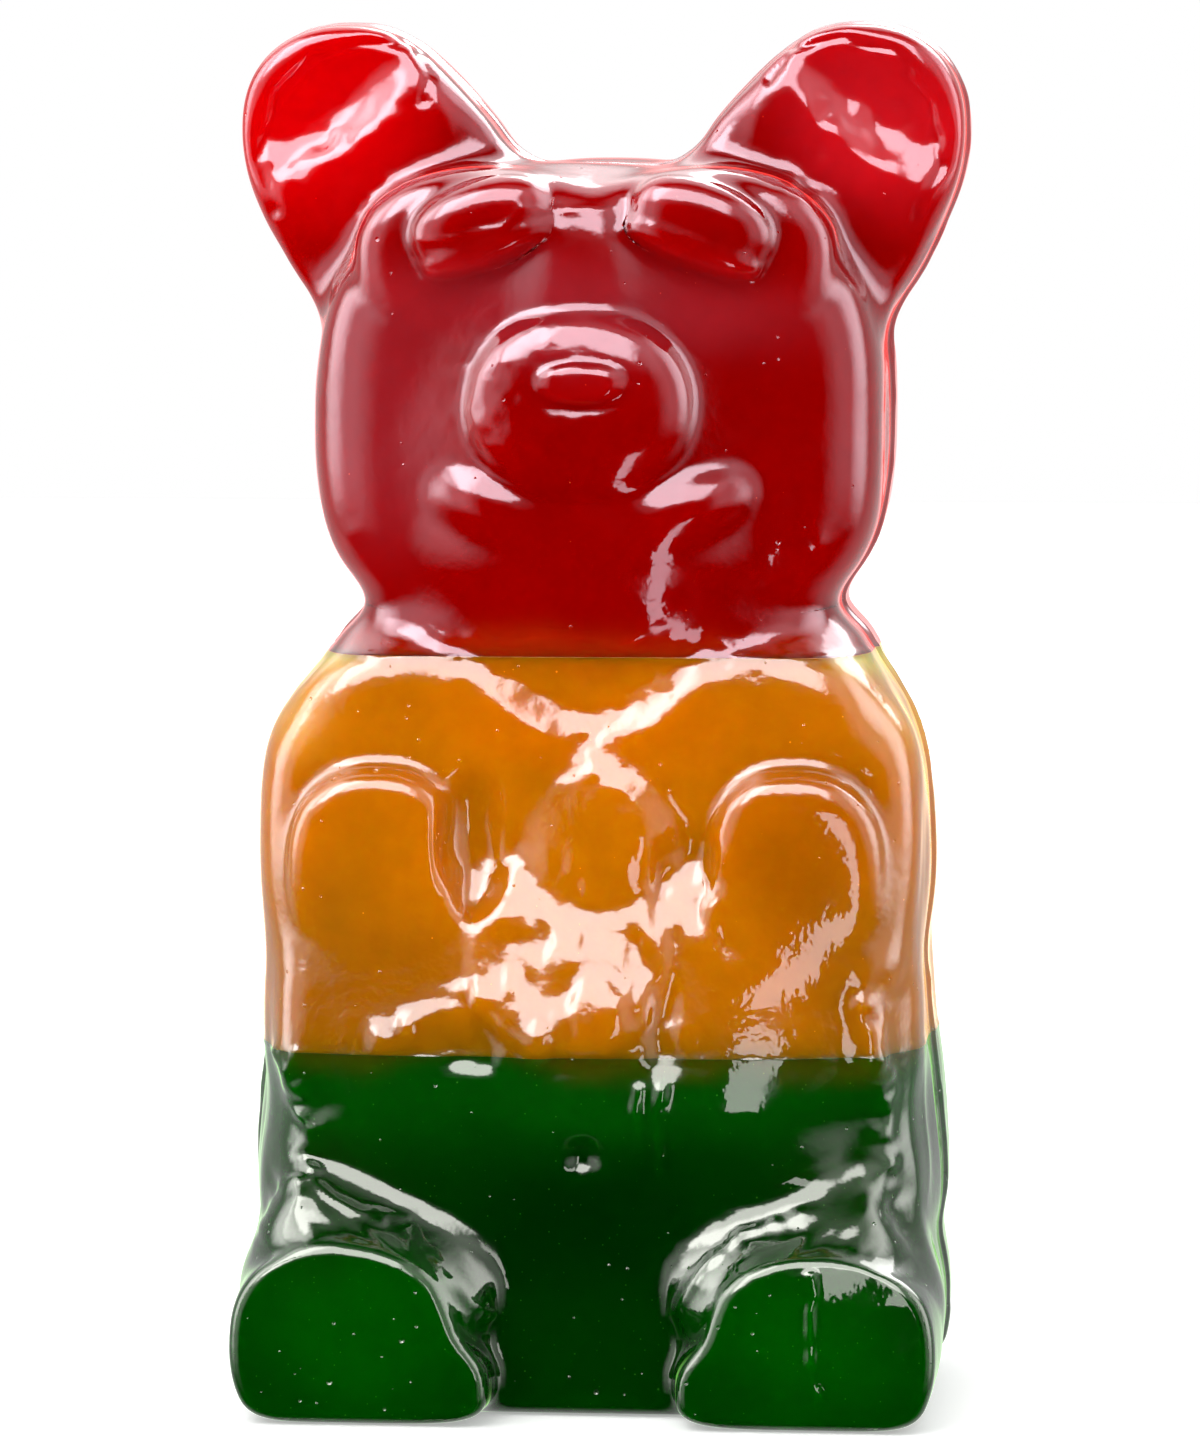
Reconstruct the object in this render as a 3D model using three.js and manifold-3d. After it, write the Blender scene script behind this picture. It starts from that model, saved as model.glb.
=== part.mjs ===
// Giant gummy bear poured in three flavour layers, sitting upright. Millimetres, +Z up, face toward -Y.
import * as THREE from 'three';
import { mergeVertices } from 'three/addons/utils/BufferGeometryUtils.js';
import Module from 'manifold-3d';

const bearHeight = 241;            // feet to the tops of the ears
const redFloor = 131.6;            // level where the red pour meets the orange pour
const greenTop = 63.3;             // level where the orange pour meets the green pour
const layerGap = 0.3;              // hairline between two poured layers
const restDepth = 0.3;             // how far the rounded underside is trimmed flat
const baseRounding = 4.5;          // edge rounding along the underside
const levelClearance = 0.5;        // distance kept between the net's corners and a parting level
const soleFront = 44.3;            // how far forward the flat soles stand
const soleRim = 2.5;               // edge rounding around each sole
const neckBlend = 7;               // softness of the crease under the jaw
const lapBlend = 4;                // softness of the crease between belly and legs
const navelRim = 2;                // softness of the navel edge
const headMiddle = 0;              // the body leans a hair to the bear's right of the head
const bodyMiddle = -0.9;
const legMiddle = -0.6;
const meshStep = 1.8;              // spacing of the net that is wrapped around the form
const triangleBudget = 12400;      // triangles left on the whole bear before it is parted
const evenness = 2e-5;             // how strongly long edges are avoided
const frontDetail = 3;             // how much more the face side counts when triangles are spent

// Rounded lumps that add up to the form: centre, half sizes, squareness of the outline seen from
// the front, flatness of the face if it differs, lean about Y, nod about X and turn about Z in
// degrees, blend with the lumps before it. A paired lump is mirrored, a hollow one is pressed in.
const headLumps = [
  { name: 'skull', at: [0, 1, 172], half: [50, 28.5, 39.5], square: 3, flat: 5.2 },
  { name: 'back of head', at: [0, 12, 176.5], half: [44, 26.5, 39.6], square: 2.3, blend: 10 },
  { name: 'brow', at: [18.5, -10, 200.5], half: [23.5, 17.5, 15.4], square: 2.2, flat: 6, blend: 3,
    paired: true },
  { name: 'ear', at: [45, 1, 222.2], half: [18.4, 12, 18.4], square: 2.2, flat: 8, blend: 4,
    paired: true },
  { name: 'ear root', at: [35.8, 1, 208.5], half: [21.8, 12.3, 22.6], square: 2.4, flat: 7,
    lean: -32, blend: 6, paired: true },
  { name: 'ear dish', at: [48.3, -16, 226.8], half: [20, 7.5, 8.5], square: 2, lean: -38,
    blend: 2.5, paired: true, hollow: true },
  { name: 'nose bridge', at: [-2, -22, 197], half: [8, 8.5, 14], square: 2.4, flat: 3, blend: 6 },
  { name: 'eye', at: [19.2, -26.5, 206.4], half: [12.4, 6.2, 7], square: 2.2, flat: 2.6, lean: -20,
    blend: 2.2, paired: true },
  { name: 'lid', at: [17.6, -28.5, 202], half: [11.5, 4.4, 2.6], square: 2.2, lean: -20,
    blend: 2.5, paired: true },
  { name: 'snout', at: [-2, -9, 166], half: [36, 24.5, 50], square: 2.1, flat: 2, blend: 6 },
  { name: 'chin', at: [-1, -18, 150], half: [24, 13, 12], square: 2.2, flat: 2.6, blend: 9 },
  { name: 'jowl', at: [15, -23, 156.5], half: [14, 10.5, 6.5], square: 2.2, lean: 24, blend: 3,
    paired: true },
  { name: 'muzzle', at: [-1.8, -27.5, 175], half: [19.6, 9.2, 16.6], square: 2.1, flat: 3,
    blend: 2 },
  { name: 'nose seat', at: [-1.2, -39.6, 178.5], half: [10.4, 4.4, 6], square: 2.2, flat: 2.2,
    blend: 1, hollow: true },
  { name: 'nose', at: [-1.2, -33.2, 179], half: [8.6, 4.8, 4], square: 2.2, flat: 3, blend: 1 },
];
const bodyLumps = [
  { name: 'torso', at: [0, 5, 62], half: [56.9, 32.5, 76], square: 3.7, flat: 6 },
  { name: 'back', at: [0, 17, 68], half: [52, 27, 70], square: 2.5, blend: 12 },
  { name: 'hips', at: [0, 6, 45], half: [59.8, 29, 29], square: 2.8, blend: 8 },
  { name: 'neck', at: [1.2, 4, 128.5], half: [45.8, 28, 15], square: 2.6, flat: 5, blend: 12 },
  { name: 'belly', at: [0, -6.1, 66], half: [55, 30, 23], square: 3, flat: 6, nod: -11, blend: 8 },
  { name: 'midriff', at: [-2.5, -23.2, 77.5], half: [17.5, 12, 19], square: 2.2, flat: 8, nod: -22,
    blend: 3 },
  { name: 'lap', at: [0, -3.5, 24], half: [55.5, 29, 34], square: 3.4, flat: 6, blend: 12 },
  { name: 'arm', at: [42, -6, 101], half: [16, 22, 27], square: 2.5, flat: 5, blend: 6,
    paired: true },
  { name: 'breast', at: [25, -14, 117], half: [25, 15.5, 15], square: 2.4, flat: 5, lean: 12,
    blend: 5, paired: true },
  { name: 'paw', at: [36, -25.5, 95.5], half: [14.5, 8.5, 17.5], square: 2.4, flat: 5, nod: 8,
    blend: 3.5, paired: true },
  { name: 'neckline', at: [0.8, -34.2, 131.5], half: [21, 9, 15.5], square: 1.5, flat: 2,
    blend: 2.5, hollow: true },
  { name: 'arm hollow', at: [-19, -34.5, 101], half: [6.5, 8.5, 15], square: 2.2, flat: 2,
    blend: 1.5, hollow: true },
  { name: 'sternum', at: [2.5, -21.5, 101], half: [14, 11, 14.5], square: 1.7, flat: 3, turn: -10,
    blend: 4 },
  { name: 'thigh', at: [37, -23.3, 22.2], half: [22.5, 19, 14.5], square: 2.8, flat: 3.5, lean: 24,
    nod: -45, blend: 3, paired: true },
];
const legLumps = [
  { name: 'leg', at: [41.6, -13, 15.5], half: [19.7, 44, 17.5], square: 2.3, flat: 5, nod: 3,
    paired: true },
  { name: 'foot pad', at: [36, -13, 6], half: [20.2, 43.6, 9], square: 2.6, flat: 5, blend: 8,
    paired: true },
];
const navel = { name: 'navel', at: [-1, -37.6, 45.5], half: [3.4, 4.5, 3.4], square: 2 };

// Smooth meeting of two distances over a width of k.
function softMin(a, b, k) {
  const near = Math.max(k - Math.abs(a - b), 0) / k;
  return Math.min(a, b) - near * near * k / 4;
}

function softMax(a, b, k) {
  return -softMin(-a, -b, k);
}

// Signed distance, near the surface, to one rounded lump.
function lumpDistance(lump, x, y, z) {
  let u = x - lump.at[0];
  let v = y - lump.at[1];
  let w = z - lump.at[2];
  if (lump.lean) {
    const angle = THREE.MathUtils.degToRad(lump.lean);
    const across = u * Math.cos(angle) + w * Math.sin(angle);
    w = w * Math.cos(angle) - u * Math.sin(angle);
    u = across;
  }
  if (lump.nod) {
    const angle = THREE.MathUtils.degToRad(lump.nod);
    const along = v * Math.cos(angle) + w * Math.sin(angle);
    w = w * Math.cos(angle) - v * Math.sin(angle);
    v = along;
  }
  if (lump.turn) {
    const angle = THREE.MathUtils.degToRad(lump.turn);
    const across = u * Math.cos(angle) + v * Math.sin(angle);
    v = v * Math.cos(angle) - u * Math.sin(angle);
    u = across;
  }
  const e = lump.square;
  const f = lump.flat ?? e;
  const [a, b, c] = lump.half;
  const p = Math.abs(u) / a + 1e-9;
  const q = Math.abs(v) / b + 1e-9;
  const r = Math.abs(w) / c + 1e-9;
  const outline = (p ** e + r ** e) ** (1 / e);
  const size = (outline ** f + q ** f) ** (1 / f);
  const share = (outline / size) ** (f - 1);
  const slope = Math.hypot(share * (p / outline) ** (e - 1) / a, (q / size) ** (f - 1) / b,
    share * (r / outline) ** (e - 1) / c);
  return (size - 1) / slope;
}

function lumpsDistance(lumps, middle, x, y, z) {
  let distance = Infinity;
  for (const lump of lumps) {
    const side = lump.paired ? Math.abs(x - middle) : x - middle;
    const next = lumpDistance(lump, side, y, z);
    if (distance === Infinity) distance = next;
    else if (lump.hollow) distance = softMax(distance, -next, lump.blend);
    else distance = softMin(distance, next, lump.blend);
  }
  return distance;
}

// Signed distance to the whole bear: negative inside.
function bearDistance(x, y, z) {
  const head = lumpsDistance(headLumps, headMiddle, x, y, z);
  const body = lumpsDistance(bodyLumps, bodyMiddle, x, y, z);
  const legs = softMax(lumpsDistance(legLumps, legMiddle, x, y, z), -y - soleFront, soleRim);
  const whole = softMin(softMin(body, legs, lapBlend), head, neckBlend);
  const rested = softMax(whole, -z - restDepth, baseRounding);
  return softMax(rested, -lumpDistance(navel, x, y, z), navelRim);
}

// Moves a point along the slope of the form, or level with it, until it lies on the surface.
function settle(point, keepLevel = false) {
  const h = 0.05;
  for (let round = 0; round < 3; round += 1) {
    const [x, y, z] = point;
    const value = bearDistance(x, y, z);
    const gx = (bearDistance(x + h, y, z) - bearDistance(x - h, y, z)) / (2 * h);
    const gy = (bearDistance(x, y + h, z) - bearDistance(x, y - h, z)) / (2 * h);
    const gz = keepLevel ? 0 : (bearDistance(x, y, z + h) - bearDistance(x, y, z - h)) / (2 * h);
    const steep = Math.max(gx * gx + gy * gy + gz * gz, 0.2);
    point[0] -= gx * value / steep;
    point[1] -= gy * value / steep;
    point[2] -= gz * value / steep;
  }
  return point;
}

// Keeps a corner clear of the levels where the bear is parted, so no thin slivers are cut.
function clearOfLevels(point) {
  for (const level of [greenTop, redFloor]) {
    const above = point[2] - level;
    if (Math.abs(above) < levelClearance) {
      point[2] = level + (above < 0 ? -levelClearance : levelClearance);
      settle(point, true);
    }
  }
  if (point[2] < restDepth) point[2] = point[2] < 0 ? -restDepth : restDepth;
  return point;
}

// Fills a corner wherever only two opposite corners of a square lie inside, which would pinch the net.
function fillPinches(values, strides) {
  let pinched = true;
  while (pinched) {
    pinched = false;
    for (let place = 0; place < values.length - strides[1] - strides[2]; place += 1) {
      for (let axis = 0; axis < 3; axis += 1) {
        const one = place + strides[axis];
        const other = place + strides[(axis + 1) % 3];
        const far = one + strides[(axis + 1) % 3];
        const inside = [place, far, one, other].map((corner) => values[corner] < 0);
        if (inside[0] === inside[1] && inside[2] === inside[3] && inside[0] !== inside[2]) {
          values[inside[0] ? one : place] = -0.01;
          pinched = true;
        }
      }
    }
  }
}

// Wraps a closed net of quads around the form and splits each quad in two.
function wrapForm() {
  const low = [-68, -50, -5];
  const size = [136, 98, bearHeight + 9];
  const [nx, ny, nz] = size.map((length) => Math.ceil(length / meshStep) + 1);
  const strides = [1, nx, nx * ny];
  const values = new Float64Array(nx * ny * nz);
  for (let k = 0; k < nz; k += 1) {
    for (let j = 0; j < ny; j += 1) {
      for (let i = 0; i < nx; i += 1) {
        const place = i + j * strides[1] + k * strides[2];
        values[place] = bearDistance(low[0] + i * meshStep, low[1] + j * meshStep,
          low[2] + k * meshStep);
      }
    }
  }
  fillPinches(values, strides);
  const points = [];
  const faces = [];
  const cellPoint = new Map();
  for (let k = 0; k < nz - 1; k += 1) {
    for (let j = 0; j < ny - 1; j += 1) {
      for (let i = 0; i < nx - 1; i += 1) {
        const cell = i + j * strides[1] + k * strides[2];
        const mean = [0, 0, 0];
        let crossings = 0;
        for (let axis = 0; axis < 3; axis += 1) {
          const second = (axis + 1) % 3;
          const third = (axis + 2) % 3;
          for (let corner = 0; corner < 4; corner += 1) {
            const shift = [0, 0, 0];
            shift[second] = corner & 1;
            shift[third] = corner >> 1;
            const start = cell + shift[0] + shift[1] * strides[1] + shift[2] * strides[2];
            const from = values[start];
            const to = values[start + strides[axis]];
            if ((from < 0) !== (to < 0)) {
              shift[axis] = from / (from - to);
              mean[0] += shift[0];
              mean[1] += shift[1];
              mean[2] += shift[2];
              crossings += 1;
            }
          }
        }
        if (crossings > 0) {
          cellPoint.set(cell, points.length);
          points.push(settle([
            low[0] + (i + mean[0] / crossings) * meshStep,
            low[1] + (j + mean[1] / crossings) * meshStep,
            low[2] + (k + mean[2] / crossings) * meshStep,
          ]));
        }
      }
    }
  }
  for (const cell of cellPoint.keys()) {
    for (let axis = 0; axis < 3; axis += 1) {
      const from = values[cell];
      const to = values[cell + strides[axis]];
      if ((from < 0) !== (to < 0)) {
        const back = strides[(axis + 1) % 3];
        const down = strides[(axis + 2) % 3];
        const ring = [cell - back - down, cell - down, cell, cell - back];
        const corners = ring.map((near) => cellPoint.get(near));
        if (from >= 0) corners.reverse();
        faces.push([corners[0], corners[1], corners[2]], [corners[0], corners[2], corners[3]]);
      }
    }
  }
  return { points, faces };
}

// Least-error heap of edges waiting to be closed up.
class EdgeHeap {
  constructor() {
    this.items = [];
  }

  push(item) {
    const items = this.items;
    let place = items.push(item) - 1;
    while (place > 0) {
      const parent = (place - 1) >> 1;
      if (items[parent].cost <= item.cost) break;
      items[place] = items[parent];
      place = parent;
    }
    items[place] = item;
  }

  pop() {
    const items = this.items;
    const first = items[0];
    const item = items.pop();
    if (items.length === 0) return first;
    let place = 0;
    for (;;) {
      let child = place * 2 + 1;
      if (child >= items.length) break;
      if (child + 1 < items.length && items[child + 1].cost < items[child].cost) child += 1;
      if (items[child].cost >= item.cost) break;
      items[place] = items[child];
      place = child;
    }
    items[place] = item;
    return first;
  }
}

const minus = (a, b) => [a[0] - b[0], a[1] - b[1], a[2] - b[2]];
const dot = (a, b) => a[0] * b[0] + a[1] * b[1] + a[2] * b[2];
const cross = (a, b) => [
  a[1] * b[2] - a[2] * b[1],
  a[2] * b[0] - a[0] * b[2],
  a[0] * b[1] - a[1] * b[0],
];

// Sum of squared distances from a point to the planes gathered in a quadric.
function planeError(q, [x, y, z]) {
  return q[0] * x * x + q[4] * y * y + q[7] * z * z + q[9]
    + 2 * (q[1] * x * y + q[2] * x * z + q[5] * y * z + q[3] * x + q[6] * y + q[8] * z);
}

// Point with the least error for a quadric, or null where the planes leave it open.
function bestPoint(q) {
  const matrix = new THREE.Matrix3().set(q[0], q[1], q[2], q[1], q[4], q[5], q[2], q[5], q[7]);
  const scale = q[0] + q[4] + q[7];
  if (Math.abs(matrix.determinant()) < 1e-7 * scale ** 3) return null;
  return new THREE.Vector3(-q[3], -q[6], -q[8]).applyMatrix3(matrix.invert()).toArray();
}

// Closes up the edges that matter least until the budget is met; the net stays closed.
function spendTriangles(net, budget) {
  const { points } = net;
  const faces = net.faces.map((face) => [...face]);
  const around = points.map(() => new Set());
  const quadrics = points.map(() => new Float64Array(10));
  const stamps = new Uint32Array(points.length);
  faces.forEach((face, index) => {
    const [a, b, c] = face.map((corner) => points[corner]);
    const normal = cross(minus(b, a), minus(c, a));
    const area = Math.hypot(...normal);
    const [x, y, z] = normal.map((part) => part / Math.max(area, 1e-12));
    const offset = -dot([x, y, z], a);
    const trimmedOff = a[2] < -restDepth / 2;
    const weight = trimmedOff ? 0.01 * area : area * (1 + frontDetail * Math.max(-y, 0));
    const plane = [x * x, x * y, x * z, x * offset, y * y, y * z, y * offset, z * z, z * offset,
      offset * offset];
    for (const corner of face) {
      around[corner].add(index);
      plane.forEach((value, term) => {
        quadrics[corner][term] += value * weight;
      });
    }
  });
  const heap = new EdgeHeap();
  const offer = (a, b) => {
    const joint = quadrics[a].map((value, term) => value + quadrics[b][term]);
    const middle = points[a].map((value, axis) => (value + points[b][axis]) / 2);
    const length = Math.hypot(...minus(points[a], points[b]));
    const best = bestPoint(joint);
    const usable = best !== null && Math.hypot(...minus(best, middle)) < length;
    const place = usable ? best : middle;
    const cost = Math.max(planeError(joint, place), 0) + evenness * length ** 4;
    heap.push({ cost, a, b, place, stampA: stamps[a], stampB: stamps[b] });
  };
  const neighbours = (corner) => {
    const found = new Set();
    for (const index of around[corner]) faces[index].forEach((other) => found.add(other));
    found.delete(corner);
    return found;
  };
  for (let corner = 0; corner < points.length; corner += 1) {
    for (const other of neighbours(corner)) if (other > corner) offer(corner, other);
  }
  const keepsFacing = (corner, gone, place) => {
    for (const index of around[corner]) {
      const face = faces[index];
      if (!face.includes(gone)) {
        const before = face.map((other) => points[other]);
        const after = face.map((other) => (other === corner ? place : points[other]));
        const was = cross(minus(before[1], before[0]), minus(before[2], before[0]));
        const now = cross(minus(after[1], after[0]), minus(after[2], after[0]));
        const sides = [0, 1, 2].map((turn) => Math.hypot(...minus(after[turn], after[(turn + 1) % 3])));
        const longest = Math.max(...sides);
        if (dot(was, now) < 0.5 * Math.hypot(...was) * Math.hypot(...now)) return false;
        if (Math.hypot(...now) < 0.12 * longest * longest) return false;
      }
    }
    return true;
  };
  let left = faces.length;
  while (left > budget && heap.items.length > 0) {
    const { a, b, place, stampA, stampB } = heap.pop();
    const current = stamps[a] === stampA && stamps[b] === stampB;
    if (current && around[a].size > 0 && around[b].size > 0) {
      const shared = [...neighbours(a)].filter((other) => neighbours(b).has(other));
      if (shared.length === 2 && keepsFacing(a, b, place) && keepsFacing(b, a, place)) {
        points[a] = place;
        for (const index of [...around[b]]) {
          const face = faces[index];
          if (face.includes(a)) {
            face.forEach((corner) => around[corner].delete(index));
            faces[index] = null;
            left -= 1;
          } else {
            face[face.indexOf(b)] = a;
            around[a].add(index);
          }
        }
        around[b].clear();
        quadrics[a] = quadrics[a].map((value, term) => value + quadrics[b][term]);
        stamps[a] += 1;
        stamps[b] += 1;
        for (const other of neighbours(a)) offer(a, other);
      }
    }
  }
  return { points, faces: faces.filter((face) => face !== null) };
}

// Net with corners settled on the form again, as a closed geometry.
function netGeometry({ points, faces }) {
  const order = new Map();
  const positions = [];
  for (const corner of faces.flat()) {
    if (!order.has(corner)) {
      order.set(corner, order.size);
      positions.push(...clearOfLevels(settle([...points[corner]])));
    }
  }
  const geometry = new THREE.BufferGeometry();
  geometry.setAttribute('position', new THREE.Float32BufferAttribute(positions, 3));
  geometry.setIndex(faces.flat().map((corner) => order.get(corner)));
  return geometry;
}

const manifoldModule = await Module();
manifoldModule.setup();
const { Manifold, Mesh } = manifoldModule;

function toSolid(geometry) {
  const bare = geometry.clone();
  bare.deleteAttribute('normal');
  bare.deleteAttribute('uv');
  const merged = mergeVertices(bare, 1e-4);
  const mesh = new Mesh({
    numProp: 3,
    vertProperties: new Float32Array(merged.attributes.position.array),
    triVerts: new Uint32Array(merged.index.array),
  });
  mesh.merge();
  return new Manifold(mesh);
}

function toGeometry(solid) {
  const mesh = solid.getMesh();
  const geometry = new THREE.BufferGeometry();
  geometry.setAttribute('position', new THREE.Float32BufferAttribute(mesh.vertProperties, 3));
  geometry.setIndex(new THREE.BufferAttribute(new Uint32Array(mesh.triVerts), 1));
  geometry.computeVertexNormals();
  return geometry;
}

// The share of the bear between two levels.
function pourBetween(bear, floor, ceiling) {
  const slab = new THREE.BoxGeometry(400, 400, ceiling - floor);
  slab.translate(0, 0, (floor + ceiling) / 2);
  return toGeometry(bear.intersect(toSolid(slab)));
}

const bearNet = spendTriangles(wrapForm(), triangleBudget);
const bearGeometry = netGeometry(bearNet);
bearGeometry.computeBoundingBox();
const middle = bearGeometry.boundingBox.getCenter(new THREE.Vector3());
bearGeometry.translate(-middle.x, -middle.y, 0);
const bear = toSolid(bearGeometry);

const pours = [
  { name: 'green_layer', floor: 0, ceiling: greenTop - layerGap / 2, color: 0x0b5a12 },
  { name: 'orange_layer', floor: greenTop + layerGap / 2, ceiling: redFloor - layerGap / 2,
    color: 0xd07a06 },
  { name: 'red_layer', floor: redFloor + layerGap / 2, ceiling: bearHeight + 20, color: 0xb00410 },
];

const part = new THREE.Group();
part.name = 'gummy_bear';
for (const pour of pours) {
  const geometry = pourBetween(bear, pour.floor, pour.ceiling);
  const material = new THREE.MeshStandardMaterial({
    color: pour.color, roughness: 0.12, metalness: 0,
  });
  material.name = `${pour.name}_gummy`;
  const mesh = new THREE.Mesh(geometry, material);
  mesh.name = pour.name;
  part.add(mesh);
}

export default part;
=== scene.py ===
import math

import bmesh
import bpy
import numpy as np
from mathutils import Matrix, Vector


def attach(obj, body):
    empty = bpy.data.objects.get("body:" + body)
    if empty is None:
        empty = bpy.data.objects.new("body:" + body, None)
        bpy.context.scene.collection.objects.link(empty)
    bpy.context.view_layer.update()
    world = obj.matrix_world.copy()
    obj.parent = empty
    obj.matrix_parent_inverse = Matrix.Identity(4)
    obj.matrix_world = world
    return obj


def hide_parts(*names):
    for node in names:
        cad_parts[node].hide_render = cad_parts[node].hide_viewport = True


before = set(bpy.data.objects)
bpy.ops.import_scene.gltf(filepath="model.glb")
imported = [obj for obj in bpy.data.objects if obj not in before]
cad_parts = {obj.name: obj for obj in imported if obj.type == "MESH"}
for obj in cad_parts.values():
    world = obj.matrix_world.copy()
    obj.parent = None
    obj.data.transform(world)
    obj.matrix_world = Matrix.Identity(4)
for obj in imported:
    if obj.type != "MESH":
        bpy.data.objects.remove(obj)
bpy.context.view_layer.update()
scene = bpy.context.scene
mm = 0.001

# the moulded form: rounded lumps in millimetres, face toward -Y
headLumps = {
    "skull": {"at": (0, 1, 172), "half": (50, 28.5, 39.5), "square": 3, "flat": 5.2},
    "backOfHead": {"at": (0, 12, 176.5), "half": (44, 26.5, 39.6), "square": 2.3, "blend": 10},
    "brow": {"at": (18.5, -10, 200.5), "half": (23.5, 17.5, 15.4), "square": 2.2, "flat": 6, "blend": 3,
            "paired": True},
    "ear": {"at": (45, 1, 222.2), "half": (18.4, 12, 18.4), "square": 2.2, "flat": 8, "blend": 4,
           "paired": True},
    "earRoot": {"at": (35.8, 1, 208.5), "half": (21.8, 12.3, 22.6), "square": 2.4, "flat": 7, "lean": -32,
               "blend": 6, "paired": True},
    "earDish": {"at": (48.3, -16, 226.8), "half": (20, 7.5, 8.5), "square": 2, "lean": -38, "blend": 2.5,
               "paired": True, "hollow": True},
    "noseBridge": {"at": (-2, -22, 197), "half": (8, 8.5, 14), "square": 2.4, "flat": 3, "blend": 6},
    "eye": {"at": (19.2, -26.5, 206.4), "half": (12.4, 6.2, 7), "square": 2.2, "flat": 2.6, "lean": -20,
           "blend": 2.2, "paired": True},
    "lid": {"at": (17.6, -28.5, 202), "half": (11.5, 4.4, 2.6), "square": 2.2, "lean": -20, "blend": 2.5,
           "paired": True},
    "snout": {"at": (-2, -9, 166), "half": (36, 24.5, 50), "square": 2.1, "flat": 2, "blend": 6},
    "chin": {"at": (-1, -18, 150), "half": (24, 13, 12), "square": 2.2, "flat": 2.6, "blend": 9},
    "jowl": {"at": (15, -23, 156.5), "half": (14, 10.5, 6.5), "square": 2.2, "lean": 24, "blend": 3,
            "paired": True},
    "muzzle": {"at": (-1.8, -27.5, 175), "half": (19.6, 9.2, 16.6), "square": 2.1, "flat": 3, "blend": 2},
    "noseSeat": {"at": (-1.2, -39.6, 178.5), "half": (10.4, 4.4, 6), "square": 2.2, "flat": 2.2, "blend": 1,
                "hollow": True},
    "nose": {"at": (-1.2, -33.2, 179), "half": (8.6, 4.8, 4), "square": 2.2, "flat": 3, "blend": 1},
}
bodyLumps = {
    "torso": {"at": (0, 5, 62), "half": (56.9, 32.5, 76), "square": 3.7, "flat": 6},
    "back": {"at": (0, 17, 68), "half": (52, 27, 70), "square": 2.5, "blend": 12},
    "hips": {"at": (0, 6, 45), "half": (59.8, 29, 29), "square": 2.8, "blend": 8},
    "neck": {"at": (1.2, 4, 128.5), "half": (45.8, 28, 15), "square": 2.6, "flat": 5, "blend": 12},
    "belly": {"at": (0, -6.1, 66), "half": (55, 30, 23), "square": 3, "flat": 6, "nod": -11, "blend": 8},
    "midriff": {"at": (-2.5, -23.2, 77.5), "half": (17.5, 12, 19), "square": 2.2, "flat": 8, "nod": -22,
               "blend": 3},
    "lap": {"at": (0, -3.5, 24), "half": (55.5, 29, 34), "square": 3.4, "flat": 6, "blend": 12},
    "arm": {"at": (42, -6, 101), "half": (16, 22, 27), "square": 2.5, "flat": 5, "blend": 6,
           "paired": True},
    "breast": {"at": (25, -14, 117), "half": (25, 15.5, 15), "square": 2.4, "flat": 5, "lean": 12,
              "blend": 5, "paired": True},
    "paw": {"at": (36, -25.5, 95.5), "half": (14.5, 8.5, 17.5), "square": 2.4, "flat": 5, "nod": 8,
           "blend": 3.5, "paired": True},
    "neckline": {"at": (0.8, -34.2, 131.5), "half": (21, 9, 15.5), "square": 1.5, "flat": 2, "blend": 2.5,
                "hollow": True},
    "armHollow": {"at": (-19, -34.5, 101), "half": (6.5, 8.5, 15), "square": 2.2, "flat": 2, "blend": 1.5,
                 "hollow": True},
    "sternum": {"at": (2.5, -21.5, 101), "half": (14, 11, 14.5), "square": 1.7, "flat": 3, "turn": -10,
               "blend": 4},
    "thigh": {"at": (37, -23.3, 22.2), "half": (22.5, 19, 14.5), "square": 2.8, "flat": 3.5, "lean": 24,
             "nod": -45, "blend": 3, "paired": True},
}
legLumps = {
    "leg": {"at": (41.6, -13, 15.5), "half": (19.7, 44, 17.5), "square": 2.3, "flat": 5, "nod": 3,
           "paired": True},
    "footPad": {"at": (36, -13, 6), "half": (20.2, 43.6, 9), "square": 2.6, "flat": 5, "blend": 8,
               "paired": True},
}
formSettings = {
    "headMiddle": 0, "bodyMiddle": -0.9, "legMiddle": -0.6,
    "soleFront": 44.3, "soleRim": 2.5, "lapBlend": 4, "neckBlend": 7,
    "baseRounding": 4.5, "restDepth": 0.3,
    "navel": {"at": (-1, -37.6, 45.5), "half": (3.4, 4.5, 3.4), "square": 2}, "navelRim": 2,
    "sidesBlend": 3,        # square mm
    "skin": 0.72,           # spacing of the finished skin, in mm
    "greenTop": 63.3, "redFloor": 131.6,
}


def softMin(a, b, k):
    near = np.clip(k - np.abs(a - b), 0, None) / k
    return np.minimum(a, b) - near * near * k / 4


def softMax(a, b, k):
    return -softMin(-a, -b, k)


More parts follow.
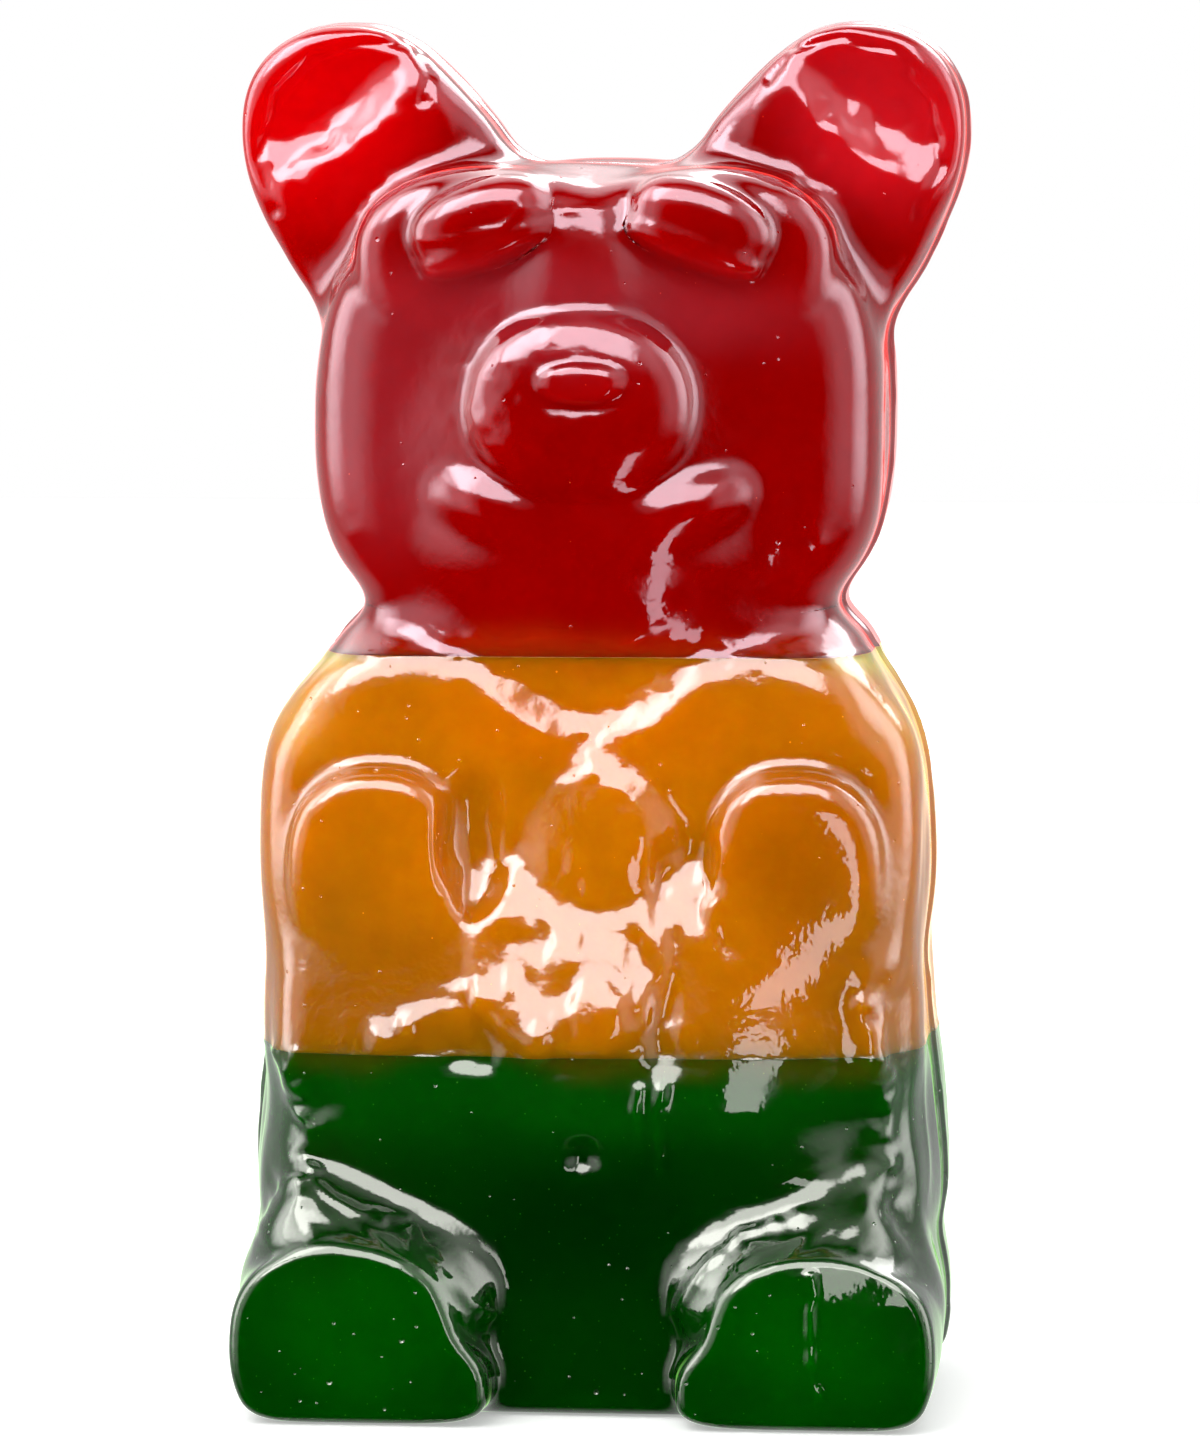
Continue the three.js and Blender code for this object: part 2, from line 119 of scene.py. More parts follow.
def lumpDistance(lump, points, middle=0):
    x = points[:, 0] - middle
    if lump.get("paired"):
        x = np.sqrt(x * x + formSettings["sidesBlend"])      # softened where the two sides meet
    place = [x - lump["at"][0], points[:, 1] - lump["at"][1], points[:, 2] - lump["at"][2]]
    for turn, first, second in (("lean", 0, 2), ("nod", 1, 2), ("turn", 0, 1)):
        if turn in lump:
            c, s = math.cos(math.radians(lump[turn])), math.sin(math.radians(lump[turn]))
            a, b = place[first], place[second]
            place[first], place[second] = a * c + b * s, b * c - a * s
    x, y, z = place
    e = lump["square"]
    f = lump.get("flat", e)
    a, b, c = lump["half"]
    p, q, r = np.abs(x) / a + 1e-9, np.abs(y) / b + 1e-9, np.abs(z) / c + 1e-9
    outline = (p ** e + r ** e) ** (1 / e)
    size = (outline ** f + q ** f) ** (1 / f)
    share = (outline / size) ** (f - 1)
    slope = np.sqrt((share * (p / outline) ** (e - 1) / a) ** 2 + ((q / size) ** (f - 1) / b) ** 2
                    + (share * (r / outline) ** (e - 1) / c) ** 2)
    return (size - 1) / slope


def lumpsDistance(lumps, middle, points):
    distance = None
    for lump in lumps.values():
        step = lumpDistance(lump, points, middle)
        if distance is None:
            distance = step
        elif lump.get("hollow"):
            distance = softMax(distance, -step, lump["blend"])
        else:
            distance = softMin(distance, step, lump["blend"])
    return distance


def bearDistance(points):
    form = formSettings
    head = lumpsDistance(headLumps, form["headMiddle"], points)
    body = lumpsDistance(bodyLumps, form["bodyMiddle"], points)
    legs = lumpsDistance(legLumps, form["legMiddle"], points)
    legs = softMax(legs, -points[:, 1] - form["soleFront"], form["soleRim"])
    whole = softMin(softMin(body, legs, form["lapBlend"]), head, form["neckBlend"])
    rested = softMax(whole, -points[:, 2] - form["restDepth"], form["baseRounding"])
    return softMax(rested, -lumpDistance(form["navel"], points), form["navelRim"])


def slopeOf(points, h=0.08):
    slope = np.empty_like(points)
    for axis in range(3):
        step = np.zeros(3)
        step[axis] = h
        slope[:, axis] = (bearDistance(points + step) - bearDistance(points - step)) / (2 * h)
    return slope


settleSettings = {"rounds": 8, "step": 3.0, "leastSteep": 0.2}


def settle(points):
    # moves the points onto the form, by no more than one step a round
    s = settleSettings
    for _ in range(s["rounds"]):
        slope = slopeOf(points)
        steep = np.maximum((slope ** 2).sum(1), s["leastSteep"])
        shift = -slope * (bearDistance(points) / steep)[:, None]
        reach = np.maximum(np.linalg.norm(shift, axis=1), 1e-9)
        points = points + shift * np.minimum(1, s["step"] / reach)[:, None]
    return points


def addLump(bm, lump, middle):
    e, f = lump["square"], lump.get("flat", lump["square"])
    for side in (1, -1) if lump.get("paired") else (1,):
        ball = bmesh.ops.create_icosphere(bm, subdivisions=4, radius=1)["verts"]
        for vert in ball:
            d = vert.co
            outline = (abs(d.x) ** e + abs(d.z) ** e) ** (1 / e)
            reach = (outline ** f + abs(d.y) ** f) ** (-1 / f)
            vert.co = Vector(part * reach * half for part, half in zip(d, lump["half"]))
        turn = Matrix.Rotation(math.radians(lump.get("turn", 0)), 4, "Z")
        turn = Matrix.Rotation(math.radians(lump.get("nod", 0)), 4, "X") @ turn
        turn = Matrix.Rotation(-math.radians(lump.get("lean", 0)), 4, "Y") @ turn
        bmesh.ops.transform(bm, matrix=Matrix.Translation(lump["at"]) @ turn, verts=ball)
        if side < 0:
            bmesh.ops.scale(bm, vec=(-1, 1, 1), verts=ball)
            bmesh.ops.reverse_faces(bm, faces=list({face for vert in ball for face in vert.link_faces}))
        bmesh.ops.translate(bm, vec=(middle, 0, 0), verts=ball)


latticeSettings = {"values": 4096, "offset": 1000, "primes": (73856093, 19349663, 83492791)}


def latticeNoise(points, size, seed):
    # smooth noise between -1 and 1, one value per lattice corner
    s = latticeSettings
    rng = np.random.RandomState(seed)
    table = rng.rand(s["values"]) * 2 - 1
    p = points / np.array(size) + s["offset"]
    base = np.floor(p).astype(np.int64)
    f = p - base
    f = f * f * f * (f * (f * 6 - 15) + 10)
    total = 0
    for dx in (0, 1):
        for dy in (0, 1):
            for dz in (0, 1):
                corner = (base + (dx, dy, dz)) * s["primes"]
                key = corner[:, 0] ^ corner[:, 1] ^ corner[:, 2]
                weight = (f[:, 0] if dx else 1 - f[:, 0]) * (f[:, 1] if dy else 1 - f[:, 1])
                weight = weight * (f[:, 2] if dz else 1 - f[:, 2])
                total = total + table[key % s["values"]] * weight
    return total


def noiseOf(points, s):
    return latticeNoise(points, s["size"], s["seed"])


def ramp(value, low, high):
    t = np.clip((value - low) / (high - low), 0, 1)
    return t * t * (3 - 2 * t)


def nearPath(points, path):
    # distance, seen from the front, to a line through (x, z) places
    flat = points[:, [0, 2]]
    best = np.full(len(points), 1e9)
    for start, end in zip(path, path[1:]):
        start, along = np.array(start), np.array(end) - np.array(start)
        t = np.clip((flat - start) @ along / (along @ along), 0, 1)
        best = np.minimum(best, np.linalg.norm(flat - start - t[:, None] * along, axis=1))
    return best


reliefSettings = {
    "wave": {"size": (13, 13, 13), "seed": 3, "height": 0.16},
    # glare on the belly: where it lies, then the drips, drops and grain that break it up
    "splash": {"middle": -2.5, "narrow": 8, "wider": 12, "narrowAt": 94, "taper": (0, 26), "edge": (-3, 5),
               "below": (59, 64), "above": (94, 101), "lower": (72, 80), "lowerGain": 1.1},
    "drip": {"size": (4.4, 9, 9), "seed": 31, "height": 0.5},
    "drop": {"size": (2.6, 6, 4), "seed": 37, "height": 0.24},
    "grain": {"size": (1.7, 5, 2.6), "seed": 43, "height": 0.1},
    "ribs": {"size": (3, 8, 5.5), "seed": 39, "height": 0.55, "below": (78, 84), "above": (98, 104),
             "inner": (9, 14), "outer": (24, 28), "middle": -1.5},
    "fold": {"size": (8, 9, 24), "seeds": (5, 8), "height": 0.45, "side": (42, 55), "below": (30, 42),
             "above": (200, 215), "behind": (8, 20)},
    "ragged": {"size": (2.6, 4, 2.6), "seed": 51, "least": 0.75, "swing": 0.5},
    "wander": {"size": (5, 5, 5), "seed": 53, "reach": 0.8},
    # lines on the face side: path in (x, z), height (below zero is a groove), half width
    "lines": {
        "leftThigh": {"path": ((-51, 45), (-43, 38), (-32, 34), (-26, 27), (-17, 18)), "height": 0.4,
                      "wide": 0.9},
        "rightThigh": {"path": ((39, 38), (27, 34), (20, 27), (14, 18)), "height": 0.4, "wide": 0.9},
        "lid": {"path": ((-30, 203), (-21, 204), (-15, 205.5), (-11, 209), (2, 208)), "height": 0.3,
                "wide": 0.7},
        "rightStrip": {"path": ((13.2, 59), (12, 50), (12.6, 44)), "height": 0.95, "wide": 1.2},
        "leftStrip": {"path": ((9, 58), (8.4, 47)), "height": 0.75, "wide": 0.9},
        "wing": {"path": ((-20, 73), (-36, 66)), "height": 1.1, "wide": 2.6},
        "soleCrease": {"path": ((38.8, 27), (39.2, 17), (39.8, 6)), "height": 0.8, "wide": 0.85},
        "breastLine": {"path": ((1, 112), (-1, 119)), "height": 0.3, "wide": 0.8},
        "neckLine": {"path": ((-28, 136), (-18, 134), (-8, 135.5), (4, 134.5), (16, 136), (24, 134)),
                     "height": 0.35, "wide": 0.9},
        "jawFold": {"path": ((-43, 151), (-38, 141)), "height": 1.1, "wide": 2.2},
        "cheekFold": {"path": ((40, 152), (36, 143)), "height": 0.9, "wide": 2.4},
        "hipFoldLeft": {"path": ((-52, 62), (-48, 50), (-50, 40)), "height": 1.4, "wide": 2.8},
        "hipFoldRight": {"path": ((47, 72), (51, 60), (52, 44)), "height": 1.4, "wide": 2.6},
        "leftEarRim": {"path": ((-57, 208), (-59.5, 217), (-57, 228), (-50, 235.5), (-41, 238), (-33, 237),
                                (-29.5, 232), (-31, 227)), "height": -0.7, "wide": 0.9, "front": (2, 6)},
        "rightEarRim": {"path": ((29.5, 231), (33, 236.5), (42, 238), (51, 235.5), (57.5, 227), (59, 216),
                                 (54, 205)), "height": -0.7, "wide": 0.9, "front": (2, 6)},
    },
    "front": (20, 30),      # how far forward of the middle the lines and bumps begin
    # patches of uneven skin: place (x, z), half sizes, size of the unevenness, height
    "rough": {
        "muzzle": {"at": (-10, 176), "half": (18, 16), "size": 2.1, "height": 0.13},
        "leftEar": {"at": (-45, 218), "half": (18, 13), "size": 3.2, "height": 0.3},
        "rightEar": {"at": (44, 219), "half": (18, 14), "size": 3, "height": 0.3},
        "neck": {"at": (0, 131), "half": (40, 8), "size": 3.2, "height": 0.24},
        "breast": {"at": (4, 116), "half": (18, 14), "size": 2.6, "height": 0.16},
        "thighs": {"at": (0, 31), "half": (60, 14), "size": 2.4, "height": 0.05},
    },
    "roughFront": (2, 8), "roughEdge": (0.6, 1), "roughSeed": 91,
    # bumps on the face side: place (x, z), half sizes, height
    "bumps": {
        "hipPatch": {"at": (-44, 51), "half": (9, 5), "height": 1.3},
        "lapPatch": {"at": (34, 46), "half": (13, 9), "height": 1.6},
    },
    "bumpSteep": 2,
    # the belly falls back toward one side: where it starts, how fast, and the heights between which it does
    "sag": {"from": 19.5, "wide": 6, "to": 44, "slope": -0.1, "below": (22, 34), "above": (72, 80)},
    # the moulded corner down each side, squarer than the lumps
    "corner": {"at": 51.5, "wide": 4.5, "height": 1.4, "below": (34, 44), "above": (112, 124),
               "front": (4, 12)},
    # streaks that run along the crease above each thigh, in a band that rises toward the side
    "streak": {"size": (16, 2.1, 9), "seed": 81, "height": 0.24, "turn": (0.8, 0.6), "floor": (14, 18),
               "upperRise": 0.75, "upperEdge": (4, 9), "lowerRise": 0.55, "lowerEdge": (-6, -1),
               "side": (13, 18), "sole": (41, 43.5)},
    # a raised line where one flavour was poured on another
    "pour": {"size": (7, 7, 7), "seed": 71, "reach": 0.5, "height": 0.22, "wide": 0.55},
    "rest": (1, 6),         # the relief fades out toward the level the bear sits on
}


def between(value, below, above):
    # 1 between two heights, fading in over the first pair and out over the second
    return ramp(value, *below) * (1 - ramp(value, *above))


def splashHeight(points, face):
    r = reliefSettings
    x, y, z = points.T
    s = r["splash"]
    halfWidth = s["narrow"] + s["wider"] * ramp(s["narrowAt"] - z, *s["taper"])
    inner, outer = s["edge"]
    aside = ramp(np.abs(x - s["middle"]), halfWidth + inner, halfWidth + outer)
    splash = face * between(z, s["below"], s["above"]) * (1 - aside)
    gain = 1 + s["lowerGain"] * (1 - ramp(z, *s["lower"]))
    drips = noiseOf(points, r["drip"]) * r["drip"]["height"] * gain
    height = splash * (drips + noiseOf(points, r["drop"]) * r["drop"]["height"])
    height = height + splash * noiseOf(points, r["grain"]) * r["grain"]["height"]
    s = r["ribs"]
    upper = face * between(z, s["below"], s["above"]) * ramp(np.abs(x - s["middle"]), *s["inner"])
    upper = upper * (1 - ramp(np.abs(x), *s["outer"]))
    return height + upper * noiseOf(points, s) * s["height"]


def flankHeight(points):
    x, y, z = points.T
    s = reliefSettings["fold"]
    flank = ramp(np.abs(x), *s["side"]) * between(z, s["below"], s["above"]) * (1 - ramp(y, *s["behind"]))
    first, second = (latticeNoise(points, s["size"], seed) for seed in s["seeds"])
    height = flank * (first - np.abs(second)) * s["height"]
    s = reliefSettings["corner"]
    span = between(z, s["below"], s["above"]) * ramp(-y, *s["front"])
    aside = np.abs(x - formSettings["bodyMiddle"]) - s["at"]
    return height + span * s["height"] * np.exp(-(aside / s["wide"]) ** 2)


def lineHeight(points, face, ragged):
    r = reliefSettings
    wander = noiseOf(points, r["wander"])[:, None] * np.array((r["wander"]["reach"], 0, r["wander"]["reach"]))
    height = 0
    for line in r["lines"].values():
        away = nearPath(points + wander, line["path"])
        front = ramp(-points[:, 1], *line["front"]) if "front" in line else face
        height = height + front * line["height"] * ragged * np.exp(-(away / line["wide"]) ** 2)
    return height


def patchHeight(points, face):
    r = reliefSettings
    x, y, z = points.T
    height = 0
    for rough in r["rough"].values():
        away = np.hypot((x - rough["at"][0]) / rough["half"][0], (z - rough["at"][1]) / rough["half"][1])
        share = ramp(-y, *r["roughFront"]) * (1 - ramp(away, *r["roughEdge"]))
        height = height + share * latticeNoise(points, (rough["size"],) * 3, r["roughSeed"]) * rough["height"]
    for bump in r["bumps"].values():
        away = np.hypot((x - bump["at"][0]) / bump["half"][0], (z - bump["at"][1]) / bump["half"][1])
        height = height + face * bump["height"] * np.exp(-away ** 2 * r["bumpSteep"])
    s = r["sag"]
    start = np.clip((x - s["from"]) / s["wide"], 0, 1)
    rest = np.clip(x - s["from"] - s["wide"], 0, s["to"] - s["from"] - s["wide"])
    fall = s["slope"] * (s["wide"] * (start ** 3 - start ** 4 / 2) + rest)
    return height + face * between(z, s["below"], s["above"]) * fall


def thighHeight(points, face):
    x, y, z = points.T
    s = reliefSettings["streak"]
    side = np.abs(x)
    onThigh = face * ramp(z, *s["floor"]) * (1 - ramp(z - s["upperRise"] * side, *s["upperEdge"]))
    onThigh = onThigh * ramp(z - s["lowerRise"] * side, *s["lowerEdge"])
    onThigh = onThigh * ramp(side, *s["side"]) * (1 - ramp(-y, *s["sole"]))
    c, d = s["turn"]
    along = np.stack((side * c + z * d, z * c - side * d, y), 1)
    return onThigh * noiseOf(along, s) * s["height"]


def pourHeight(points, ragged):
    s = reliefSettings["pour"]
    wander = s["reach"] * noiseOf(points, s)
    height = 0
    for level in (formSettings["greenTop"], formSettings["redFloor"]):
        height = height + s["height"] * ragged * np.exp(-((points[:, 2] - level - wander) / s["wide"]) ** 2)
    return height


def reliefHeight(points):
    r = reliefSettings
    face = ramp(-points[:, 1], *r["front"])
    height = noiseOf(points, r["wave"]) * r["wave"]["height"]
    height = height + splashHeight(points, face) + flankHeight(points)
    ragged = r["ragged"]["least"] + r["ragged"]["swing"] * noiseOf(points, r["ragged"])
    height = height + lineHeight(points, face, ragged) + patchHeight(points, face)
    return height + thighHeight(points, face) + pourHeight(points, ragged)


seamSettings = {
    "at": 3, "height": 0.5, "wide": 0.8, "step": 0.6,
    "edgeOn": (0.25, 0.6), "behind": (12, 24), "above": (4, 9),
    "wander": {"size": (40, 40, 40), "seed": 21, "reach": 1.5},
    "ragged": {"size": (4, 4, 4), "seed": 23, "least": 0.55, "swing": 0.45},
}


def seamHeight(points, normals):
    # the two halves of the mould meet around the sides and don't quite line up
    s = seamSettings
    x, y, z = points.T
    place = s["at"] + s["wander"]["reach"] * noiseOf(points, s["wander"])
    edgeOn = 1 - ramp(np.abs(normals[:, 1]), *s["edgeOn"])
    ragged = s["ragged"]["least"] + s["ragged"]["swing"] * noiseOf(points, s["ragged"])
    ridge = np.exp(-((y - place) / s["wide"]) ** 2) * ragged * s["height"]
    step = ramp(y - place, -s["wide"], s["wide"]) * (1 - ramp(y, *s["behind"])) * s["step"]
    return edgeOn * ramp(z, *s["above"]) * (ridge + step)


def makeSkin():
    bm = bmesh.new()
    for lumps, middle in ((headLumps, formSettings["headMiddle"]), (bodyLumps, formSettings["bodyMiddle"]),
                          (legLumps, formSettings["legMiddle"])):
        for lump in lumps.values():
            if not lump.get("hollow"):
                addLump(bm, lump, middle)
    mesh = bpy.data.meshes.new("skin")
    bm.to_mesh(mesh)
    bm.free()
    skin = bpy.data.objects.new("skin", mesh)
    scene.collection.objects.link(skin)
    wrap = skin.modifiers.new("wrap", "REMESH")
    wrap.mode = "VOXEL"
    wrap.voxel_size = formSettings["skin"]
    bpy.context.view_layer.update()
    wrapped = bpy.data.meshes.new_from_object(skin.evaluated_get(bpy.context.evaluated_depsgraph_get()))
    bpy.data.objects.remove(skin)
    points = np.empty(len(wrapped.vertices) * 3)
    wrapped.vertices.foreach_get("co", points)
    points = settle(points.reshape(-1, 3))
    normals = slopeOf(points)
    normals /= np.maximum(np.linalg.norm(normals, axis=1), 1e-9)[:, None]
    height = reliefHeight(points) * ramp(points[:, 2], *reliefSettings["rest"]) + seamHeight(points, normals)
    points = points + normals * height[:, None]
    wrapped.vertices.foreach_set("co", points.ravel())
    print("skin", len(wrapped.vertices), "points")
    return wrapped


sliceSettings = {"gap": 0.02, "merge": 1e-4, "level": 0.99999, "lidArea": 3}


def sliceLayer(skin, name, floor, ceiling, shift):
    bm = bmesh.new()
    bm.from_mesh(skin)
    for level, facing in ((floor, -1), (ceiling, 1)):
        if level is None:
            continue
        everything = bm.verts[:] + bm.edges[:] + bm.faces[:]
        cut = bmesh.ops.bisect_plane(bm, geom=everything, plane_co=(0, 0, level), plane_no=(0, 0, facing),
                                     clear_outer=True, dist=sliceSettings["merge"])
        rim = [item for item in cut["geom_cut"] if isinstance(item, bmesh.types.BMEdge)]
        lid = bmesh.ops.edgeloop_fill(bm, edges=rim)["faces"]
        for edge in rim:
            edge.smooth = False
        bmesh.ops.triangulate(bm, faces=lid)
    for face in bm.faces:
        sloping = abs(face.normal.z) < sliceSettings["level"]
        face.smooth = sloping or face.calc_area() < sliceSettings["lidArea"]
    bmesh.ops.translate(bm, vec=shift, verts=bm.verts)
    bmesh.ops.scale(bm, vec=(mm, mm, mm), verts=bm.verts)
    bmesh.ops.recalc_face_normals(bm, faces=bm.faces)
    mesh = bpy.data.meshes.new(name)
    bm.to_mesh(mesh)
    bm.free()
    piece = bpy.data.objects.new(name, mesh)
    scene.collection.objects.link(piece)
    print(name, len(mesh.polygons), "faces")
    return piece


skin = makeSkin()
corners = np.array([v.co for v in skin.vertices])
middle = (corners.max(0) + corners.min(0)) / 2
shift = (-middle[0], -middle[1], 0)
greenTop, redFloor, gap = formSettings["greenTop"], formSettings["redFloor"], sliceSettings["gap"]
green = sliceLayer(skin, "greenLayer", 0, greenTop, shift)
orange = sliceLayer(skin, "orangeLayer", greenTop + gap, redFloor - gap, shift)
red = sliceLayer(skin, "redLayer", redFloor, None, shift)
bpy.data.meshes.remove(skin)


def newGroup(name, inputs, outputs):
    tree = bpy.data.node_groups.new(name, "ShaderNodeTree")
    for socket, kind, value in inputs:
        made = tree.interface.new_socket(socket, in_out="INPUT", socket_type=kind)
        made.default_value = value
    for socket, kind in outputs:
        tree.interface.new_socket(socket, in_out="OUTPUT", socket_type=kind)
    return tree, tree.nodes.new("NodeGroupInput"), tree.nodes.new("NodeGroupOutput")


def node(tree, kind, **values):
    made = tree.nodes.new(kind)
    for name, value in values.items():
        if name in made.inputs:
            made.inputs[name].default_value = value
        else:
            setattr(made, name, value)
    return made


# colour of each layer by place: soft spots as place, half sizes and colour; among them painted glow in the
# ears, shoulder edges and feet, painted sheen on the face and painted shade between the legs
toneSettings = {
    "redLayer": {
        "base": (0.29, 0.0, 0.0),
        "spots": {
            # painted glow: the thin ears are made a lighter red, as if lit through from behind
            "leftEar": {"at": (-46, -5, 224), "half": (17, 25, 16), "color": (0.66, 0.0, 0.0015)},
            "rightEar": {"at": (47, -5, 224), "half": (17, 25, 16), "color": (0.55, 0.006, 0.012)},
            "forehead": {"at": (0, -20, 212), "half": (24, 20, 6), "color": (0.36, 0.0, 0.001)},
            # painted sheen: a paler, bluish red on the upper face and the left cheek
            "paintedUpperFaceSheen": {"at": (-4, -30, 190), "half": (36, 20, 8), "color": (0.34, 0.013, 0.02)},
            "paintedLeftCheekSheen": {"at": (-36, -28, 172), "half": (9, 20, 20), "color": (0.33, 0.012, 0.018)},
            "neck": {"at": (0, -5, 131.6), "half": (70, 60, 5), "color": (0.42, 0.018, 0.001)},
        },
    },
    "orangeLayer": {
        "base": (0.53, 0.166, 0.0005),
        "spots": {
            "middle": {"at": (-38, -35, 77), "half": (14, 20, 9), "color": (0.4, 0.125, 0.001)},
            "chest": {"at": (0, -30, 122), "half": (30, 22, 9), "color": (0.6, 0.16, 0.0)},
            "rightPaw": {"at": (37, -34, 96), "half": (13, 12, 17), "color": (0.41, 0.112, 0.0)},
            "leftFlank": {"at": (-50, -10, 82), "half": (10, 40, 16), "color": (0.36, 0.125, 0.002)},
            "rightFlank": {"at": (50, -10, 82), "half": (10, 40, 16), "color": (0.36, 0.125, 0.002)},
            "foot": {"at": (0, 0, 62), "half": (80, 60, 9), "color": (0.225, 0.09, 0.001)},
            "top": {"at": (0, 0, 132), "half": (80, 60, 3), "color": (0.58, 0.12, 0.001)},
            # painted glow: pale yellow along the outer edges of the shoulders
            "leftShoulderGlow": {"at": (-54, 0, 122), "half": (8, 40, 10), "color": (0.75, 0.36, 0.03)},
            "rightShoulderGlow": {"at": (54, 0, 122), "half": (8, 40, 10), "color": (0.75, 0.36, 0.03)},
            "leftFringeGlow": {"at": (-48, -6, 131), "half": (7, 30, 4), "color": (0.9, 0.62, 0.04)},
            "rightFringeGlow": {"at": (47, -6, 131), "half": (7, 30, 4), "color": (0.9, 0.62, 0.04)},
        },
    },
    "greenLayer": {
        "base": (0.0005, 0.03, 0.0004),
        "spots": {
            "top": {"at": (0, -10, 58), "half": (80, 60, 10), "color": (0.001, 0.066, 0.001)},
            "edge": {"at": (0, 0, 64.5), "half": (80, 60, 3.4), "color": (0.06, 0.062, 0.001)},
            # painted shade: darker green between the legs
            "lap": {"at": (0, -30, 33), "half": (20, 30, 13), "color": (0.0, 0.018, 0.0004)},
            # painted glow: the feet are made a lighter green
            "leftFootGlow": {"at": (-38, -46, 18), "half": (21, 12, 15), "color": (0.0006, 0.078, 0.0004)},
            "rightFootGlow": {"at": (38, -46, 18), "half": (21, 12, 15), "color": (0.0006, 0.078, 0.0004)},
            "leftHip": {"at": (-46, -15, 38), "half": (14, 22, 14), "color": (0.006, 0.05, 0.002)},
            "rightHip": {"at": (46, -15, 38), "half": (14, 22, 14), "color": (0.006, 0.05, 0.002)},
        },
    },
}


spotSettings = {
    "steep": 0.8, "power": 1.5,
    "fine": {"size": (9, 14, 9), "seed": 61, "reach": 1.5},
    "broad": {"size": (22, 30, 22), "seed": 62, "reach": 3},
}


def paintTones(piece):
    # colour by place, in millimetres, with painted glow, sheen and shade among it, kept as the piece's own
    # attribute
    s = toneSettings[piece.name]
    mesh = piece.data
    points = np.empty(len(mesh.vertices) * 3)
    mesh.vertices.foreach_get("co", points)
    points = points.reshape(-1, 3) / mm
    fine, broad = spotSettings["fine"], spotSettings["broad"]
    wander = noiseOf(points, fine) * fine["reach"] + noiseOf(points, broad) * broad["reach"]
    tone = np.tile(np.array(s["base"] + (1.0,)), (len(points), 1))
    for spot in s["spots"].values():
        away = (((points + wander[:, None] - spot["at"]) / spot["half"]) ** 2).sum(1)
        share = np.exp(-spotSettings["steep"] * away ** spotSettings["power"])[:, None]
        tone[:, :3] += share * (np.array(spot["color"]) - tone[:, :3])
    layer = mesh.color_attributes.new("tone", "FLOAT_COLOR", "POINT")
    layer.data.foreach_set("color", tone.ravel())


# unevenness inside and on the gummy: sizes in mm, ranges as low, high, start, end
gummyTexture = {
    "roughness": 0.55, "dot": {"least": 0.3, "more": 0.7, "edge": (0.0, 0.75)},
    "broadMottle": {"size": 16, "detail": 3.0, "share": 0.5},
    "fineMottle": {"size": 3.2, "detail": 3.0, "share": 0.25},
    "bright": (0.22, 0.53, 0.92, 1.1),
    "smallBubble": {"size": 1.5, "reach": 0.15}, "largeBubble": {"size": 4.7, "reach": 0.06},
    # bubbles: lighter dots, partly a bubble's own pale look and partly a painted glint
    "bubble": {"cover": -0.8, "light": 1.4, "haze": (0.025, 0.05, 0.01, 1)},
    "smear": {"size": 7, "detail": 4.0, "range": (0.5, 0.72, 0.035, 0.13)},
    "grain": {"size": 1.1, "detail": 2.0, "share": 0.03},
    "smallPit": {"size": 2.9, "reach": 0.15}, "largePit": {"size": 6.3, "reach": 0.1},
    "blister": {"size": 3.3, "reach": 0.12, "height": 0.8},
    "fineRipple": {"size": 1.5, "detail": 1.0, "share": 0.5}, "broadRipple": {"size": 4.5, "detail": 1.0},
}


